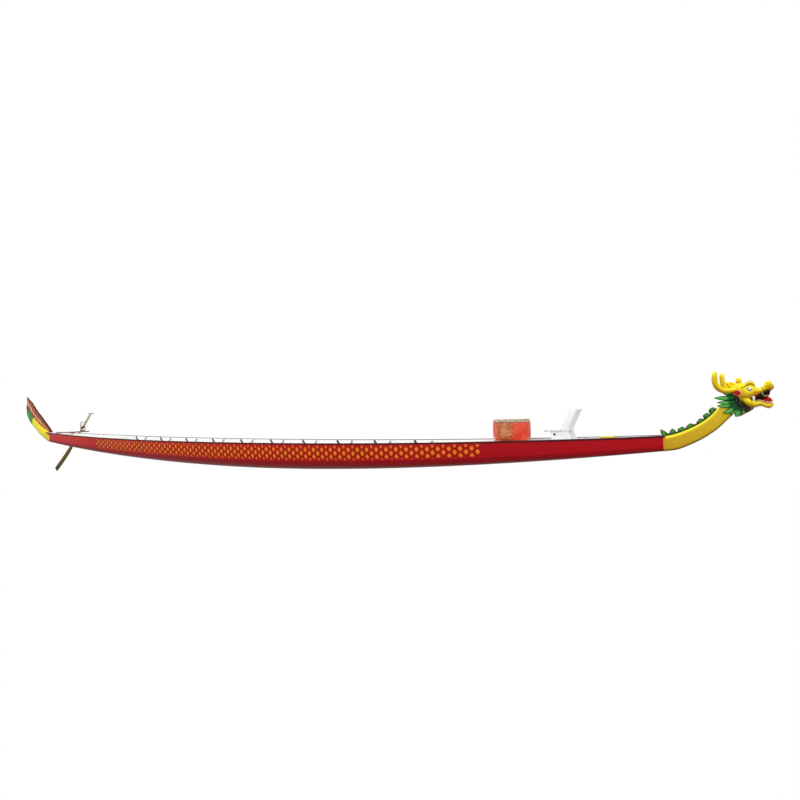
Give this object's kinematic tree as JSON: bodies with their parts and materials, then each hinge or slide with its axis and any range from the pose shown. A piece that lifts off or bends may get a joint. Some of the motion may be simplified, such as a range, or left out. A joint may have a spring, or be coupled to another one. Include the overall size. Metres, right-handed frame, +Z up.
{
  "type": "dragon boat",
  "caption": "Long narrow paddling boat with a carved dragon head on a raised neck, a raised tail, rows of benches, a drum, a drummer's seat and a stern steering oar.",
  "frame": {"origin": "on the still waterline amidships, on the centreline", "axes": "+X to the bow, +Y to port, +Z up"},
  "size_m": [18.04, 1.222, 2.1996],
  "materials": {
    "beam_paint": "worn paint",
    "crest_red": "gloss paint on fibreglass",
    "dragon_yellow": "gloss paint on fibreglass",
    "drum_hide": "stretched hide",
    "drum_lacquer": "gloss lacquer",
    "eye_white": "gloss paint",
    "gunwale_rubber": "satin extruded trim",
    "hull_gelcoat": "glossy fibreglass gelcoat",
    "lock_steel": "galvanised steel",
    "mane_green": "gloss paint on fibreglass",
    "mouth_red": "gloss paint",
    "oar_wood": "oiled wood",
    "ochre_paint": "gloss paint on fibreglass",
    "seat_plastic": "moulded plastic",
    "spine_green": "gloss paint on fibreglass",
    "varnished_wood": "satin varnish",
    "white_gelcoat": "semi-gloss fibreglass gelcoat",
    "yellow_paint": "gloss paint"
  },
  "bodies": {
    "hull": {"hull_stern": "hull_gelcoat", "hull_aft": "hull_gelcoat", "hull_middle": "hull_gelcoat", "hull_fore": "hull_gelcoat", "hull_bow": "hull_gelcoat", "gunwale_trim_port": "gunwale_rubber", "gunwale_trim_starboard": "gunwale_rubber", "bow_deck": "white_gelcoat", "stern_deck": "white_gelcoat", "bow_bulkhead": "white_gelcoat", "stern_bulkhead": "white_gelcoat", "bench_01": "white_gelcoat", "bench_02": "white_gelcoat", "bench_03": "white_gelcoat", "bench_04": "white_gelcoat", "bench_05": "white_gelcoat", "bench_06": "white_gelcoat", "bench_07": "white_gelcoat", "bench_08": "white_gelcoat", "bench_09": "white_gelcoat", "bench_10": "white_gelcoat", "keelson_stern": "varnished_wood", "keelson_middle": "varnished_wood", "keelson_bow": "varnished_wood", "bow_board": "yellow_paint", "drum_stand": "varnished_wood", "drum_body": "drum_lacquer", "drum_skin": "drum_hide", "seat_pan": "seat_plastic", "seat_back": "seat_plastic", "seat_side_port": "seat_plastic", "seat_side_starboard": "seat_plastic", "seat_front_panel": "seat_plastic", "neck": "ochre_paint", "neck_spines": "spine_green", "head_skull": "dragon_yellow", "eye_port": "eye_white", "ear_port": "mouth_red", "antler_port": "dragon_yellow", "eye_starboard": "eye_white", "ear_starboard": "mouth_red", "antler_starboard": "dragon_yellow", "crown_knob": "dragon_yellow", "head_lower_jaw": "dragon_yellow", "tongue": "mouth_red", "mane_port": "mane_green", "mane_starboard": "mane_green", "tail_body": "dragon_yellow", "tail_crest": "crest_red", "oar_beam": "beam_paint", "oarlock_base": "lock_steel"},
    "oarlock": {"oarlock_foot": "lock_steel", "oarlock_loop": "lock_steel"},
    "collar": {"oar_collar": "lock_steel"},
    "oar": {"oar_shaft": "oar_wood", "oar_grip": "oar_wood", "oar_blade": "oar_wood"}
  },
  "joints": [
    {"name": "oar_sweep", "type": "hinge", "parent": "hull", "child": "oarlock", "pos_m": [-7.11, 0.5, 0.56522], "axis": [0, 0, 1], "range_deg": [-40, 12]},
    {"name": "oar_tilt", "type": "hinge", "parent": "oarlock", "child": "collar", "pos_m": [-7.11, 0.5, 0.66552], "axis": [0, 1, 0], "range_deg": [-5, 27]},
    {"name": "oar_twist", "type": "hinge", "parent": "collar", "child": "oar", "pos_m": [-7.11, 0.5, 0.66552], "axis": [0.7254, 0, 0.6884], "range_deg": [-60, 60]}
  ]
}
